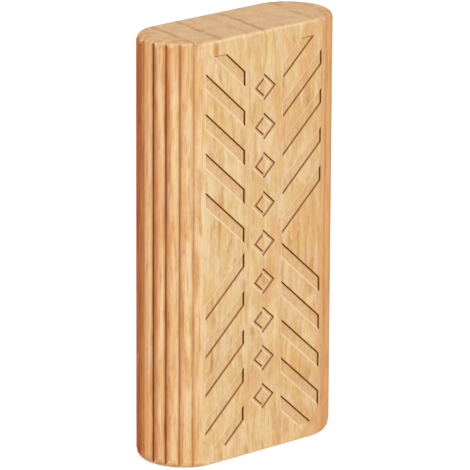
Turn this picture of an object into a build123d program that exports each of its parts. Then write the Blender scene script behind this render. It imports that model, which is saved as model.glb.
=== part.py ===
from build123d import *
from math import cos, radians, sin, sqrt, tan
import os

# Loose tenon: a flat beech stick with two full-round, reeded narrow edges.
# It stands on one end: length along Z, width along X, thickness along Y.
length = 40.0
width = 21.2
thickness = 7.9

# Corners at both ends: well rounded on the narrow edges, more so at the lower
# end, and only eased on the broad faces. Each rounding is made of a few flats.
lower_end_round = 1.0
upper_end_round = 0.6
end_round_steps = 3
face_end_round = 0.3

# Reeding on the narrow edges: rounded ribs with sharp grooves between them,
# spread evenly about the middle of each edge. The pitch is an angle.
groove_count = 8
groove_pitch = 19.45
groove_depth = 0.25

# Glue pockets: slanting bars pressed into both broad faces, in four fans.
# Heights are measured from the pattern's middle, along the inner end of a fan.
bar_count = 5
bar_slant = 41.9
bar_width = 1.05
bar_pitch = 3.67
bar_first = 0.42
pocket_depth = 0.12
pocket_draft = 30.0

# The fans reach from the inner to the outer distance beside the middle line
# and are cut off square near both ends.
fan_inner = 2.3
fan_outer = 7.03
fan_half_length = 18.5

# Row of lozenge outlines pressed along the middle line.
lozenge_count = 9
lozenge_pitch = 3.67
lozenge_half_width = 1.4
lozenge_slant = 41.9
lozenge_line = 0.36
lozenge_depth = 0.1
lozenge_draft = 30.0

edge_radius = thickness / 2
edge_centre = width / 2 - edge_radius
groove_radius = edge_radius - groove_depth
first_groove = 90 - groove_pitch * (groove_count - 1) / 2


def on_edge(radius, turn):
    """Point of the right-hand edge, turned from the front face round to the back."""
    angle = radians(turn)
    return Vector(edge_centre + radius * sin(angle), -radius * cos(angle))


def crest_direction(turn):
    """Direction round the right-hand edge at a turn."""
    angle = radians(turn)
    return Vector(cos(angle), sin(angle))


def rib(start):
    """One rounded rib between two grooves."""
    crest = on_edge(edge_radius, start + groove_pitch / 2)
    return ThreePointArc(on_edge(groove_radius, start), crest, on_edge(groove_radius, start + groove_pitch))


def shoulder(sign):
    """Plain arc from a broad face, falling as half a rib into the nearest groove."""
    groove_turn = 90 + sign * (90 - first_groove)
    crest_turn = groove_turn + sign * groove_pitch / 2
    face_turn = 90 + sign * 90
    crest = on_edge(edge_radius, crest_turn)
    middle = on_edge(edge_radius, (face_turn + crest_turn) / 2)
    plain = ThreePointArc(on_edge(edge_radius, face_turn), middle, crest)
    groove = on_edge(groove_radius, groove_turn)
    half_rib = TangentArc(crest, groove, tangent=-sign * crest_direction(crest_turn))
    return [plain, half_rib]


def section():
    """Flat stadium with reeded round edges."""
    edge = Curve() + shoulder(-1) + shoulder(1)
    for number in range(groove_count - 1):
        edge += rib(first_groove + number * groove_pitch)
    front = Line((-edge_centre, -edge_radius), (edge_centre, -edge_radius))
    back = Line((-edge_centre, edge_radius), (edge_centre, edge_radius))
    return make_face(Curve() + [front, back, edge, mirror(edge, about=Plane.YZ)])


def inset(rounding, height):
    """How far a round corner lies inside its edge at a height above the end face."""
    left = max(rounding - height, 0)
    return rounding - sqrt(rounding**2 - left**2)


def end_slices(rounding):
    """Heights and plain stadiums through one end's corners, from the end face inwards."""
    turns = [radians(90 * step / end_round_steps) for step in range(end_round_steps + 1)]
    radii = (rounding, face_end_round)
    heights = sorted({round(radius * (1 - cos(turn)), 3) for radius in radii for turn in turns})
    slices = []
    for height in heights:
        edges = width - 2 * inset(rounding, height)
        slices.append((height, SlotOverall(edges, thickness - 2 * inset(face_end_round, height))))
    return slices


def stick():
    """Reeded stick with rounded corners at both ends."""
    slices = [Pos(0, 0, height) * outline for height, outline in end_slices(lower_end_round)]
    upper = [Pos(0, 0, length - height) * outline for height, outline in end_slices(upper_end_round)]
    return loft(slices + upper[::-1], ruled=True) & extrude(section(), amount=length)


def pocket(number):
    """Tool for one slanting pocket of the upper right fan; it narrows inwards."""
    height = bar_width / cos(radians(bar_slant))
    rise = (fan_outer - fan_inner) * tan(radians(bar_slant))
    near = bar_first + number * bar_pitch
    corners = [
        (fan_inner, near),
        (fan_outer, near + rise),
        (fan_outer, near + rise + height),
        (fan_inner, near + height),
    ]
    rim = Polygon(corners, align=None) & Rectangle(2 * fan_outer, 2 * fan_half_length)
    return extrude(rim, amount=pocket_depth, taper=pocket_draft)


def pockets():
    """Tools for the pockets of all four fans."""
    upper = [pocket(number) for number in range(bar_count)]
    upper += [mirror(tool, about=Plane.YZ) for tool in upper]
    return upper + [mirror(tool, about=Plane.XZ) for tool in upper]


def lozenge(half_width, draft):
    """Tool with a lozenge for its rim."""
    half_height = half_width * tan(radians(lozenge_slant))
    rim = Polygon([(half_width, 0), (0, half_height), (-half_width, 0), (0, -half_height)], align=None)
    return extrude(rim, amount=lozenge_depth, taper=draft)


def lozenges():
    """Tools for the row of lozenge outlines, each leaving an island in its middle."""
    line_width = lozenge_line / sin(radians(lozenge_slant))
    island = lozenge(lozenge_half_width - line_width, -lozenge_draft)
    outline = lozenge(lozenge_half_width, lozenge_draft) - island
    middle = (lozenge_count - 1) / 2
    return [Pos(0, (number - middle) * lozenge_pitch) * outline for number in range(lozenge_count)]


front_face = Plane(origin=(0, -edge_radius, length / 2), x_dir=(-1, 0, 0), z_dir=(0, 1, 0))
front_tools = [front_face * tool for tool in pockets() + lozenges()]
back_tools = [Rot(0, 0, 180) * tool for tool in front_tools]
tenon = stick() - front_tools - back_tools

os.makedirs("parts", exist_ok=True)
export_step(tenon, "parts/tenon.step")
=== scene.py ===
import math
import bmesh
import bpy
from mathutils import Matrix, Vector


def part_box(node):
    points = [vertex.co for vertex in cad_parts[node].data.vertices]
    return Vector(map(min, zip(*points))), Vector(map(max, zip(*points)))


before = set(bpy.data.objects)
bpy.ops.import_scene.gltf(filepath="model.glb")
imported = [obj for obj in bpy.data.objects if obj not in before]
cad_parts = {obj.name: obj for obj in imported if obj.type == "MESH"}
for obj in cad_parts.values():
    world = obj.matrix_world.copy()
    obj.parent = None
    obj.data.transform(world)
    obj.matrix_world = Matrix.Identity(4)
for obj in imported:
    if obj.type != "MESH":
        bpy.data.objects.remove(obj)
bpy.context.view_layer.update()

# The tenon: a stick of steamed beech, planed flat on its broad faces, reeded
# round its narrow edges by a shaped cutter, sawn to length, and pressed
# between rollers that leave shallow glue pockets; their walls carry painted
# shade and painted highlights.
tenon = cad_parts["tenon"]
_, tenon_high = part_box("tenon")
mm = 0.001
half_thickness = tenon_high.y / mm
half_length = tenon_high.z / mm / 2
edge_centre = (tenon_high.x - tenon_high.y) / mm

beech_pale = (0.92, 0.73, 0.46)
beech_highlight = (0.87, 0.67, 0.385)
beech_cream = (0.85, 0.62, 0.34)
beech_straw = (0.79, 0.53, 0.235)
beech_blush = (0.80, 0.45, 0.20)
beech_orange = (0.64, 0.30, 0.09)
beech_brown = (0.48, 0.17, 0.05)
beech_amber = (0.92, 0.43, 0.155)
groove_shade_dark = (0.15, 0.028, 0.004)
shadow_red = (0.56, 0.16, 0.048)
shadow_red_dark = (0.38, 0.088, 0.026)
flank_shade_tint = (0.92, 0.52, 0.42)
beech_yellow_stain = (1.0, 1.01, 0.84)
beech_pink_stain = (1.0, 0.985, 1.14)
pocket_floor = (0.76, 0.43, 0.20)
pocket_shade = (0.42, 0.16, 0.022)
pocket_deep_shade = (0.085, 0.020, 0.001)
pocket_highlight = (1.0, 0.81, 0.56)
pocket_blush = (1.0, 0.62, 0.42)
end_tan = (0.78, 0.52, 0.28)
end_pink = (0.74, 0.43, 0.25)
end_ring = (0.50, 0.22, 0.085)

beech = bpy.data.materials.new("beech")
beech.use_nodes = True
tree = beech.node_tree
tree.nodes.clear()


def add(kind, **settings):
    """A new node in the tree at hand, with its properties set."""
    made = tree.nodes.new(kind)
    for name, value in settings.items():
        setattr(made, name, value)
    return made


def feed(socket, source):
    """Give a socket another node's output or a plain value."""
    if isinstance(source, bpy.types.NodeSocket):
        tree.links.new(source, socket)
    elif socket.type == "RGBA":
        socket.default_value = (*source, 1)
    else:
        socket.default_value = source


def end_in(shader):
    """Let the tree at hand end in a shader."""
    output = add("ShaderNodeOutputMaterial")
    feed(output.inputs["Surface"], shader.outputs[0])


def split(source):
    """The three parts of a vector."""
    made = add("ShaderNodeSeparateXYZ")
    feed(made.inputs[0], source)
    return made.outputs


def calc(operation, *sources):
    """One step of arithmetic."""
    made = add("ShaderNodeMath", operation=operation)
    for socket, source in zip(made.inputs, sources):
        feed(socket, source)
    return made.outputs[0]


def times(first, *others):
    """All the sources multiplied."""
    for other in others:
        first = calc("MULTIPLY", first, other)
    return first


def plus(first, *others):
    """All the sources added up."""
    for other in others:
        first = calc("ADD", first, other)
    return first


def less(source, taken):
    """A source with another taken from it."""
    return calc("SUBTRACT", source, taken)


def apart(source, other):
    """How far two sources are apart, whichever is the larger."""
    return calc("ABSOLUTE", less(source, other))


def swing(noise, span):
    """A noise of 0 to 1 as a swing about nothing, a span wide in all."""
    return times(less(noise, 0.5), span)


def outside(mask):
    """1 where a mask is 0, and 0 where it is 1."""
    return less(1.0, mask)


def fade(value, none_at, full_at):
    """0 where the value is at the first limit, 1 where it is at the second, softly between."""
    made = add("ShaderNodeMapRange", interpolation_type="SMOOTHSTEP")
    for name, source in (("Value", value), ("From Min", none_at), ("From Max", full_at)):
        feed(made.inputs[name], source)
    return made.outputs[0]


def coat(below, above, mask, strength=1.0, blend="MIX"):
    """Lay a colour over another where a mask is, up to a strength."""
    made = add("ShaderNodeMix", data_type="RGBA", blend_type=blend)
    feed(made.inputs["Factor"], times(mask, strength))
    below_socket, above_socket = [socket for socket in made.inputs if socket.type == "RGBA"]
    feed(below_socket, below)
    feed(above_socket, above)
    return next(socket for socket in made.outputs if socket.type == "RGBA")


def mottle(across, along, detail=3.0, rough=0.6, shift=0.0, twist=0.0):
    """Noise of 0 to 1 drawn out along the grain: features per millimetre across and along."""
    shift_shares = (1.0, 0.7, 1.3)
    stretch = add("ShaderNodeMapping", vector_type="POINT")
    stretch.inputs["Location"].default_value = [shift * share for share in shift_shares]
    stretch.inputs["Scale"].default_value = (across, across, along)
    feed(stretch.inputs["Vector"], millimetres)
    made = add("ShaderNodeTexNoise", noise_dimensions="3D")
    feed(made.inputs["Vector"], stretch.outputs[0])
    made.inputs["Scale"].default_value = 1.0
    made.inputs["Detail"].default_value = detail
    made.inputs["Roughness"].default_value = rough
    made.inputs["Distortion"].default_value = twist
    return made.outputs["Fac"]


place = add("ShaderNodeTexCoord")
in_millimetres = add("ShaderNodeVectorMath", operation="SCALE")
feed(in_millimetres.inputs[0], place.outputs["Object"])
in_millimetres.inputs["Scale"].default_value = 1 / mm
millimetres = in_millimetres.outputs[0]
x, y, z = split(millimetres)
facing_x, facing_y, facing_z = split(place.outputs["Normal"])

# Where a point of the stick lies, in millimetres: how far out beside a narrow
# edge's centre line, how deep under the plain surface that was there before
# the grooves and pockets, and how far from the nearer end.
aside = calc("ABSOLUTE", x)
beside = calc("MAXIMUM", less(aside, edge_centre), 0.0)
out_x = times(beside, calc("SIGN", x))
reach = calc("SQRT", plus(times(beside, beside), times(y, y)))
safe_reach = calc("MAXIMUM", reach, 1.0)
depth = less(half_thickness, reach)
from_end = less(half_length, apart(z, half_length))

# Which part of the stick that is: an end with its ragged border, a reeded
# edge, or a pressed face.
end_zone = (1.2, 1.1)
reeded_zone = (7.15, 7.35)
splinters = mottle(across=1.4, along=1.2, rough=0.7, shift=33.3)
splintered = plus(calc("ABSOLUTE", facing_z), swing(splinters, 1.2))
at_end = fade(from_end, *end_zone)
reeded = fade(aside, *reeded_zone)
end_grain = times(fade(splintered, 0.42, 0.72), at_end)
side_grain = outside(end_grain)
on_edge = times(reeded, side_grain)
on_face = times(outside(reeded), side_grain, outside(at_end))

# Growth rings: each is a sheet down the length that leans a little on its way
# through the thickness. Place across the front, half width, and strength.
ring_lean = 0.168
ring_sway = swing(mottle(across=0.45, along=0.03, detail=2.0, rough=0.55, shift=4.4), 0.9)
ring_places = (
    (-8.2, 0.42, 0.85),
    (-5.2, 0.50, 0.85),
    (-1.9, 0.60, 0.5),
    (-0.1, 0.42, 1.0),
    (2.3, 0.40, 0.5),
    (6.2, 0.45, 0.6),
)
ring_place = plus(less(x, times(plus(y, half_thickness), ring_lean)), ring_sway)
rings = 0.0
for across, half_width, strength in ring_places:
    ring = fade(apart(ring_place, across), half_width, 0.0)
    rings = calc("MAXIMUM", rings, times(ring, strength))

# Long grain on a ground of cream: patches of straw, blushes that grow to the
# right, wandering streaks, short flecks, and a fine fuzz of fibres.
blush_growth = 0.012
patches = mottle(across=0.55, along=0.20, shift=3.1, twist=0.6)
blushes = plus(mottle(across=0.42, along=0.17, shift=15.4, twist=0.6), times(x, blush_growth))
streaks = mottle(across=1.15, along=0.16, detail=4.0, rough=0.65, shift=7.7, twist=0.9)
flecks = mottle(across=1.75, along=0.40, detail=2.0, rough=0.5, shift=5.9, twist=0.5)
fibres = mottle(across=3.8, along=1.1, detail=4.0, rough=0.75, shift=1.3, twist=0.4)

# Noise, the value where the layer begins and the one where it is full, its
# colour and its strength.
grain_layers = (
    (patches, 0.40, 0.60, beech_straw, 1.0),
    (blushes, 0.46, 0.64, beech_blush, 0.75),
    (streaks, 0.52, 0.70, beech_orange, 0.50),
    (streaks, 0.46, 0.32, beech_pale, 0.60),
    (flecks, 0.60, 0.72, beech_orange, 0.60),
    (fibres, 0.50, 0.72, beech_orange, 0.40),
    (fibres, 0.48, 0.30, beech_pale, 0.45),
)
colour = beech_cream
for noise, begins, full, shade, strength in grain_layers:
    colour = coat(colour, shade, fade(noise, begins, full), strength)

# A faint cast, yellower here and pinker there, and faint broken lines where
# the rings come out along the sides.
cast = mottle(across=1.4, along=0.45, shift=30.2, twist=0.4)
yellower = fade(cast, 0.46, 0.62)
pinker = fade(cast, 0.54, 0.38)
broken_rings = times(rings, fade(flecks, 0.40, 0.60))
colour = coat(colour, beech_yellow_stain, yellower, strength=0.5, blend="MULTIPLY")
colour = coat(colour, beech_pink_stain, pinker, strength=0.5, blend="MULTIPLY")
colour = coat(colour, beech_orange, broken_rings, strength=0.35)

# Flecks that this one stick has on its front. Place across and up, half width
# and half height, and strength.
front_flecks = (
    (-9.62, 14.9, 0.22, 1.3, 0.9),
    (-9.20, 37.9, 0.30, 2.6, 0.6),
    (-5.80, 39.0, 0.40, 1.2, 1.0),
    (-5.30, 37.3, 0.20, 1.5, 0.4),
    (-7.56, 34.2, 0.50, 1.6, 0.5),
    (4.36, 18.4, 0.16, 2.2, 0.7),
    (5.30, 17.0, 0.22, 3.0, 0.5),
    (8.95, 15.5, 0.50, 10.0, 0.6),
    (7.60, 13.0, 0.20, 5.0, 0.4),
    (-6.18, 9.9, 0.26, 1.5, 1.0),
    (-6.01, 13.8, 0.32, 0.7, 0.5),
    (-5.96, 2.6, 0.12, 0.7, 0.6),
    (4.28, 13.3, 0.12, 0.6, 0.6),
    (5.90, 6.8, 0.12, 1.2, 0.4),
    (6.63, 8.3, 0.12, 0.7, 0.5),
)
front_zone = (0.5, -1.5)
in_front = fade(y, *front_zone)
for across, up, half_width, half_height, strength in front_flecks:
    sideways = calc("DIVIDE", less(x, across), half_width)
    upwards = calc("DIVIDE", less(z, up), half_height)
    far = plus(times(sideways, sideways), times(upwards, upwards), fibres)
    colour = coat(colour, beech_orange, times(fade(far, 1.8, 0.3), in_front), strength)

# The right-hand edge's margin, tinted redder and amber.
margin_zone = (6.7, 7.7)
margin = fade(x, *margin_zone)

# Reeded edges: the cutter scores them. Painted highlight on the crests and on
# the flanks that face the nearer broad face, red painted shade on the flank of
# each rib that looks to the edge's middle, and a warm blush that is partly wood
# and partly painted shade. The shade and the blush grow away from the front face.
away_zone = (-4.1, -1.2)
left_zone = (7.0, -7.0)
rear_zone = (0.0, 0.35)
flank_shade_zone = (-0.25, 0.65)
off_highlight_zone = (-0.05, 0.25)
groove_side_zone = (0.06, 0.20)
groove_zone = (0.15, 0.24)
away = fade(y, *away_zone)
left = times(fade(x, *left_zone), 0.12)
warm = fade(mottle(across=0.75, along=0.05, shift=11.6), 0.45, 0.58)
marks = mottle(across=2.2, along=0.35, shift=21.3, twist=0.4)
scores = mottle(across=5.5, along=0.22, shift=27.9, twist=0.3)
waver = swing(mottle(across=0.9, along=0.35, detail=2.0, rough=0.55, shift=9.2), 0.09)

# How far the surface turns from the plain round edge, towards its middle.
turned = calc("DIVIDE", less(times(out_x, facing_y), times(y, facing_x)), safe_reach)
turned = times(turned, calc("SIGN", x), calc("SIGN", y), -1.0)
turned = plus(turned, swing(marks, 0.8))
# Painted highlight on the crests; painted shade on the flanks towards the edge's middle.
painted_crest_highlight = times(outside(fade(turned, *off_highlight_zone)), fade(marks, 0.62, 0.42))
painted_flank_shade = times(fade(turned, *flank_shade_zone), plus(0.12, times(away, 0.88)))
# Warm blush: partly wood colour, partly painted shade that grows away from the front face.
warmth_and_shade = times(plus(0.20, times(warm, 0.70)), plus(0.20, away))

colour = coat(colour, beech_highlight, times(on_edge, painted_crest_highlight), strength=0.65)
colour = coat(colour, beech_blush, times(on_edge, warmth_and_shade))
colour = coat(colour, beech_blush, margin, strength=0.55)
colour = coat(colour, beech_amber, margin, strength=0.45)
colour = coat(colour, beech_orange, times(on_edge, fade(marks, 0.53, 0.68)), strength=0.40)
colour = coat(colour, beech_brown, times(on_edge, fade(scores, 0.53, 0.68)), strength=0.45)
colour = coat(colour, flank_shade_tint, times(on_edge, painted_flank_shade), blend="MULTIPLY")

# Painted shadow, dark red, along the back of the left-hand edge, with ragged
# limits and a band of amber painted half-shade before it.
amber_from_front = (-0.7, 0.4)
amber_from_right = (-9.0, -9.8)
shadow_from_front = (0.40, 1.20)
shadow_from_right = (-7.4, -9.8)
shadow_from_back = (4.9, 3.0)
amber_half_shade = times(fade(y, *amber_from_front), fade(x, *amber_from_right))
painted_shadow = times(
    fade(plus(x, swing(marks, 5.0)), *shadow_from_right),
    fade(plus(y, times(waver, 4.0)), *shadow_from_front),
    fade(plus(y, times(marks, 2.0)), *shadow_from_back),
)
painted_shadow_colour = coat(shadow_red, shadow_red_dark, fade(scores, 0.42, 0.58))
colour = coat(colour, beech_amber, times(amber_half_shade, plus(0.45, times(warm, 0.40))))
colour = coat(colour, painted_shadow_colour, painted_shadow, strength=0.92)

# The grooves: painted shade, brown on their sides and dark at the bottom, which
# wavers a little in depth, grows away from the front face and towards the left,
# and hardly shows behind the edge's middle.
cut = plus(depth, waver)
showing = times(on_edge, outside(times(fade(y, *rear_zone), 0.85)))
painted_groove_side_shade = times(fade(cut, *groove_side_zone), plus(left, times(away, 0.60)), showing)
painted_groove_shade = times(fade(cut, *groove_zone), plus(left, times(away, 0.75)), showing)
colour = coat(colour, beech_brown, painted_groove_side_shade)
colour = coat(colour, groove_shade_dark, painted_groove_shade, strength=0.95)

# Pressed faces: pinkish crushed floors, redder where a pocket falls to the
# right, painted shade on the walls that face away from the light, left and
# down on the front face, and painted highlights on the rims and walls that face up and to the
# right.
wall_easing = 0.14
floor_zone = (0.05, 0.09)
falling_zone = (-3.0, 3.0)
shade_rise = 0.35
highlight_rise = 0.5
soft_edge = add("ShaderNodeBevel", samples=8)
soft_edge.inputs["Radius"].default_value = wall_easing * mm
eased_x, _, eased_z = split(soft_edge.outputs[0])
face_side = calc("SIGN", y)
plain_x = calc("DIVIDE", out_x, safe_reach)


def leaning(across):
    """How far a direction leans sideways from the plain surface, counted alike on both faces."""
    return times(less(across, plain_x), face_side)


def away_from_light(across, up):
    """How far a direction leans away from the light, sideways and downwards."""
    return less(leaning(across), times(up, shade_rise))


crumbs = mottle(across=5.0, along=2.6, rough=0.7, shift=2.2)
pressed_floor = times(fade(depth, *floor_zone), on_face)
falling = fade(times(x, face_side, less(z, half_length)), *falling_zone)
floor_colour = coat(pocket_floor, beech_cream, fade(crumbs, 0.42, 0.64), strength=0.8)
colour = coat(colour, floor_colour, times(pressed_floor, plus(0.38, times(falling, 0.37))))

beside_wall = fade(calc("ABSOLUTE", eased_x), 0.02, 0.08)
under_wall = fade(times(leaning(eased_x), eased_z), 0.002, 0.05)
# Painted highlight on rims facing up and right; painted shade, near black, on walls facing left
# and down.
painted_rim_highlight = times(fade(less(times(eased_z, highlight_rise), leaning(eased_x)), 0.03, 0.15), beside_wall)
painted_wall_shade = fade(away_from_light(eased_x, eased_z), 0.04, 0.20)
painted_dark_wall_shade = fade(away_from_light(facing_x, facing_z), 0.05, 0.60)
wall_layers = (
    (under_wall, pocket_blush, 0.80),
    (painted_rim_highlight, pocket_highlight, 0.90),
    (painted_wall_shade, pocket_shade, 0.85),
    (painted_dark_wall_shade, pocket_deep_shade, 0.97),
)
for mask, shade, strength in wall_layers:
    colour = coat(colour, shade, times(mask, on_face), strength)

# Ends: sawn end grain with blotches, open pores and broken rings.
pores = mottle(across=5.0, along=0.5, detail=4.0, rough=0.7, shift=6.1)
blotches = mottle(across=0.8, along=0.1, shift=8.3)
breaks = mottle(across=0.9, along=0.1, detail=2.0, rough=0.55, shift=12.7)
end_layers = (
    (fade(blotches, 0.42, 0.62), end_pink, 0.80),
    (fade(pores, 0.48, 0.30), beech_cream, 0.40),
    (fade(pores, 0.54, 0.74), end_ring, 0.35),
    (times(rings, fade(breaks, 0.36, 0.56)), end_ring, 0.75),
)
end_colour = end_tan
for mask, shade, strength in end_layers:
    end_colour = coat(end_colour, shade, mask, strength)
colour = coat(colour, end_colour, end_grain)

# The ends' rims: crumbly and pale where the saw tears the long grain, and
# frayed round the reeded edges.
rim_zone = (0.8, 0.5)
round_zone = (6.4, 7.4)
frayed_zone = (1.9, 3.1)
rising = calc("ABSOLUTE", eased_z)
torn = plus(rising, swing(crumbs, 1.6))
at_rim = fade(from_end, *rim_zone)
round_end = fade(aside, *round_zone)
rim = times(fade(torn, 0.10, 0.35), outside(fade(torn, 0.75, 0.95)), at_rim)
round_colour = coat(beech_cream, beech_orange, fade(crumbs, 0.50, 0.62))
rim_colour = coat(beech_pale, round_colour, round_end)
frays = times(fade(splinters, 0.53, 0.44), fade(rising, 0.10, 0.30))
frayed = times(frays, fade(reach, *frayed_zone), at_rim, round_end)
colour = coat(colour, rim_colour, rim, strength=0.5)
colour = coat(colour, beech_orange, frayed, strength=0.60)

# Relief and sheen: raised fibres, crushed floors and open pores on bare wood.
relief_height = 0.06
relief = add("ShaderNodeBump")
relief.inputs["Strength"].default_value = 0.4
relief.inputs["Distance"].default_value = relief_height * mm
crushed = times(crumbs, pressed_floor, 0.6)
pitted = times(pores, end_grain, 0.9)
feed(relief.inputs["Height"], plus(times(fibres, 0.6), crushed, pitted))

surface = add("ShaderNodeBsdfPrincipled")
surface.inputs["Specular IOR Level"].default_value = 0.04
feed(surface.inputs["Base Color"], colour)
feed(surface.inputs["Roughness"], plus(0.62, times(fibres, 0.25)))
feed(surface.inputs["Normal"], relief.outputs[0])
end_in(surface)

tenon.material_slots[0].material = beech

# The studio floor: a wide pale sheet. The camera sees it burnt out to white
# except where the tenon keeps the light off it.
floor_size = 2.0
floor_form = bmesh.new()
bmesh.ops.create_grid(floor_form, x_segments=1, y_segments=1, size=floor_size)
floor_mesh = bpy.data.meshes.new("floor")
floor_form.to_mesh(floor_mesh)
floor_form.free()
floor = bpy.data.objects.new("floor", floor_mesh)
bpy.context.scene.collection.objects.link(floor)

floor_grey = (0.8, 0.8, 0.8)
floor_grey_seen = (0.40, 0.40, 0.40)
floor_glow_seen = 0.80
pale = bpy.data.materials.new("pale floor")
pale.use_nodes = True
tree = pale.node_tree
tree.nodes.clear()


def looked_at():
    """1 for the camera's rays and for those that gloss or glass sends on, 0 for lighting."""
    rays = add("ShaderNodeLightPath")
    direct = calc("MAXIMUM", rays.outputs["Is Camera Ray"], rays.outputs["Is Glossy Ray"])
    return calc("MAXIMUM", direct, rays.outputs["Is Transmission Ray"])


paper = add("ShaderNodeBsdfDiffuse")
feed(paper.inputs["Color"], floor_grey)
paper_seen = add("ShaderNodeBsdfDiffuse")
feed(paper_seen.inputs["Color"], floor_grey_seen)
glow_seen = add("ShaderNodeEmission")
feed(glow_seen.inputs["Strength"], floor_glow_seen)
seen = add("ShaderNodeAddShader")
feed(seen.inputs[0], paper_seen.outputs[0])
feed(seen.inputs[1], glow_seen.outputs[0])
choice = add("ShaderNodeMixShader")
feed(choice.inputs[0], looked_at())
feed(choice.inputs[1], paper.outputs[0])
feed(choice.inputs[2], seen.outputs[0])
end_in(choice)
floor_mesh.materials.append(pale)

# The studio: a white room that gives little light of its own, with large soft
# round lamps in front of the broad face, overhead, to the left and behind.
room_white = (1, 1, 1)
room_light = 0.10
studio = bpy.data.worlds.new("studio")
bpy.context.scene.world = studio
studio.use_nodes = True
tree = studio.node_tree
room = tree.nodes["Background"]
feed(room.inputs["Color"], room_white)
feed(room.inputs["Strength"], calc("MAXIMUM", looked_at(), room_light))

tenon_middle = Vector((0, 0, tenon_high.z / 2))
lamp_distance = 0.6


def lamp(name, turn, rise, size, level):
    """Soft round lamp aimed at the tenon; at level 1 it alone shows a white face as white."""
    light = bpy.data.lights.new(name, "AREA")
    light.shape = "DISK"
    light.size = size
    light.energy = level * (math.pi * lamp_distance) ** 2
    made = bpy.data.objects.new(name, light)
    bpy.context.scene.collection.objects.link(made)
    turn, rise = math.radians(turn), math.radians(rise)
    level_out = math.cos(rise)
    outwards = Vector((-math.sin(turn) * level_out, -math.cos(turn) * level_out, math.sin(rise)))
    made.location = tenon_middle + outwards * lamp_distance
    made.rotation_euler = outwards.to_track_quat("Z", "Y").to_euler()


lamp("front", turn=6, rise=16, size=0.26, level=0.47)
lamp("overhead", turn=0, rise=84, size=0.40, level=0.42)
lamp("left", turn=72, rise=14, size=0.26, level=0.33)
lamp("back", turn=170, rise=36, size=0.40, level=0.36)

# The camera: the photograph's long lens, to the left of the broad face and a
# little above it. It turns aside so that the tenon's middle comes to its pixel
# of the picture, counted from the upper left corner.
camera_turn = math.radians(41.8404)
camera_rise = math.radians(16.4619)
camera_roll = math.radians(0.2881)
camera_distance = 0.4574536
sensor_width = 36
image_size = 470
lens_pixels = 4990.7
middle_pixel_x = 233.76
middle_pixel_y = 233.16

forward = Vector((
    math.sin(camera_turn) * math.cos(camera_rise),
    math.cos(camera_turn) * math.cos(camera_rise),
    -math.sin(camera_rise),
))
right = Vector((math.cos(camera_turn), -math.sin(camera_turn), 0))
up = right.cross(forward)
centre_pixel = (image_size - 1) / 2
pixel_size = camera_distance / lens_pixels
aim_right = right * (centre_pixel - middle_pixel_x) * pixel_size
aim_up = up * (middle_pixel_y - centre_pixel) * pixel_size
camera_place = tenon_middle - forward * camera_distance
look = (tenon_middle + aim_right + aim_up - camera_place).normalized()
beam = look.cross(Vector((0, 0, 1))).normalized()
head = beam.cross(look)
stance = Matrix((beam, head, -look)).transposed().to_4x4() @ Matrix.Rotation(camera_roll, 4, "Z")

camera_data = bpy.data.cameras.new("camera")
camera_data.sensor_width = sensor_width
camera_data.lens = sensor_width * lens_pixels / image_size
camera = bpy.data.objects.new("camera", camera_data)
bpy.context.scene.collection.objects.link(camera)
camera.matrix_world = Matrix.Translation(camera_place) @ stance
bpy.context.scene.camera = camera

bpy.context.scene.view_settings.view_transform = "Standard"
